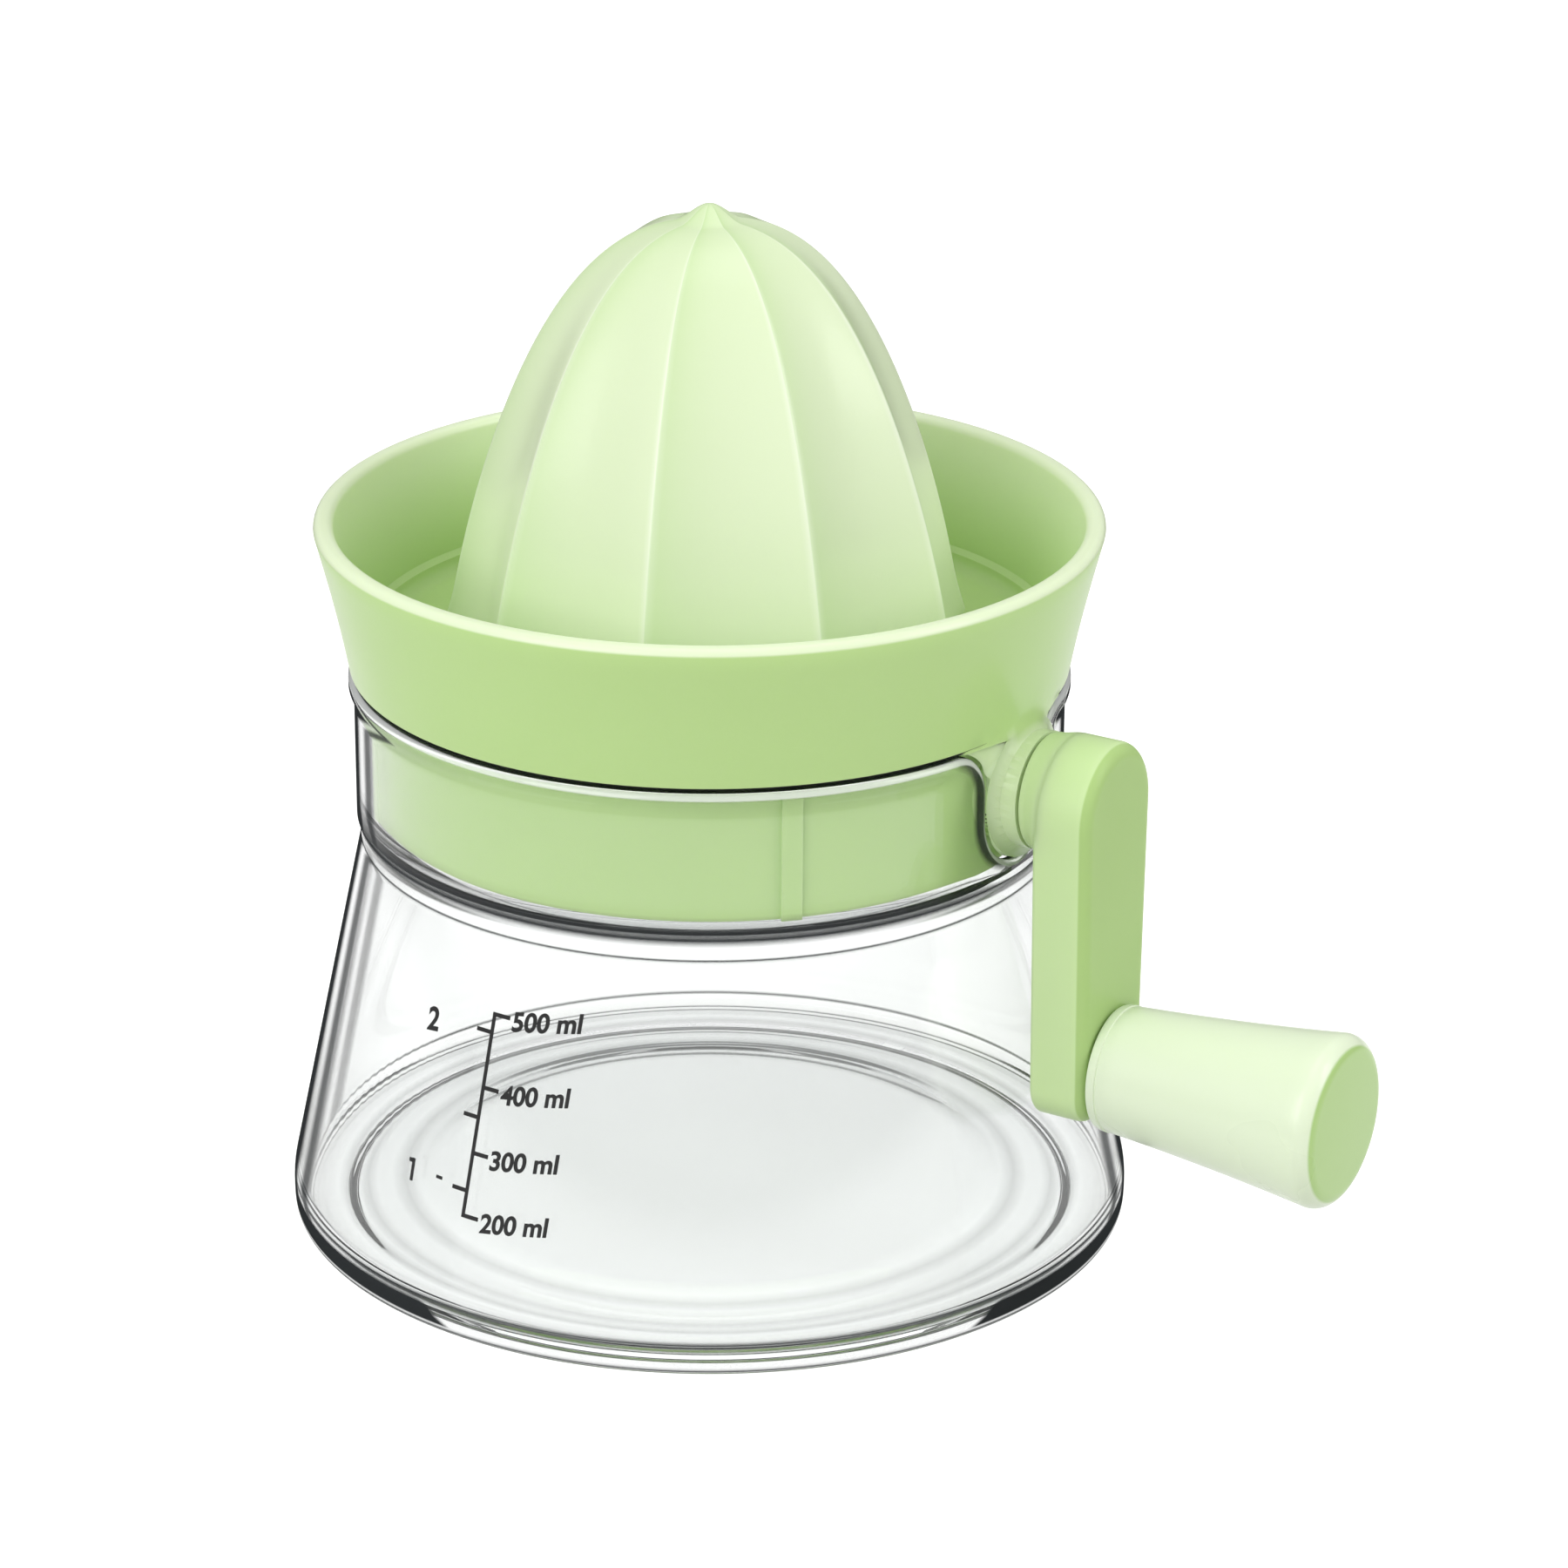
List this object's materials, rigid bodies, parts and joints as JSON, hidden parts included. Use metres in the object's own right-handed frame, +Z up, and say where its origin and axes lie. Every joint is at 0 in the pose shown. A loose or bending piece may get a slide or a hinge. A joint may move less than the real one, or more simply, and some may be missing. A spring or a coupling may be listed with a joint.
{
  "type": "hand crank juicer",
  "caption": "Citrus juicer with a clear flared measuring jar, a lift-off slotted bowl holding a bevel gear drive, a fluted domed reamer and a side crank with a spinning grip.",
  "frame": {"origin": "centre of the jar's foot ring, on the table", "axes": "+Z up along the jar and spindle axis, +X out along the crank shaft towards the arm, measuring scale on the -Y side"},
  "size_m": [0.1711, 0.128, 0.157],
  "materials": {
    "clear_plastic": "clear polished moulding",
    "green_plastic": "satin moulding",
    "pale_green_plastic": "soft gloss moulding",
    "steel": "plain turned steel",
    "white_nylon": "plain moulding",
    "bronze": "sintered",
    "seal_rubber": "plain"
  },
  "bodies": {
    "jar": {"jar": "clear_plastic"},
    "head": {"bowl": "green_plastic", "gear_housing": "green_plastic", "gear_cover": "green_plastic", "cover_gasket": "seal_rubber", "cover_screws": "steel", "shaft_inner_bush": "bronze", "shaft_outer_bush": "bronze", "shaft_seal": "seal_rubber", "spindle_upper_bush": "bronze", "spindle_lower_bush": "bronze", "spindle_seal": "seal_rubber"},
    "crank": {"crank_shaft": "steel", "pinion": "white_nylon", "pinion_pin": "steel", "crank_arm": "green_plastic", "grip_pin": "steel", "crank_washer": "white_nylon"},
    "grip": {"grip": "pale_green_plastic"},
    "spindle": {"spindle": "steel", "crown_gear": "white_nylon", "crown_pin": "steel", "crown_washer": "white_nylon"},
    "reamer": {"reamer": "pale_green_plastic", "drive_socket": "white_nylon"}
  },
  "joints": [
    {"name": "head_lift", "type": "slide", "parent": "jar", "child": "head", "axis": [0, 0, 1], "range_m": [0, 0.045]},
    {"name": "crank_turn", "type": "hinge", "parent": "head", "child": "crank", "pos_m": [0, 0, 0.0779], "axis": [1, 0, 0], "continuous": true},
    {"name": "grip_spin", "type": "hinge", "parent": "crank", "child": "grip", "pos_m": [0.068, 0, 0.0369], "axis": [1, 0, 0], "continuous": true},
    {"name": "spindle_turn", "type": "hinge", "parent": "head", "child": "spindle", "pos_m": [0, 0, 0.0779], "axis": [0, 0, 1], "continuous": true},
    {"name": "reamer_lift", "type": "slide", "parent": "spindle", "child": "reamer", "axis": [0, 0, 1], "range_m": [0, 0.03]}
  ],
  "couplings": [
    {"joint": "spindle_turn", "follows": "crank_turn", "ratio": -0.5}
  ]
}
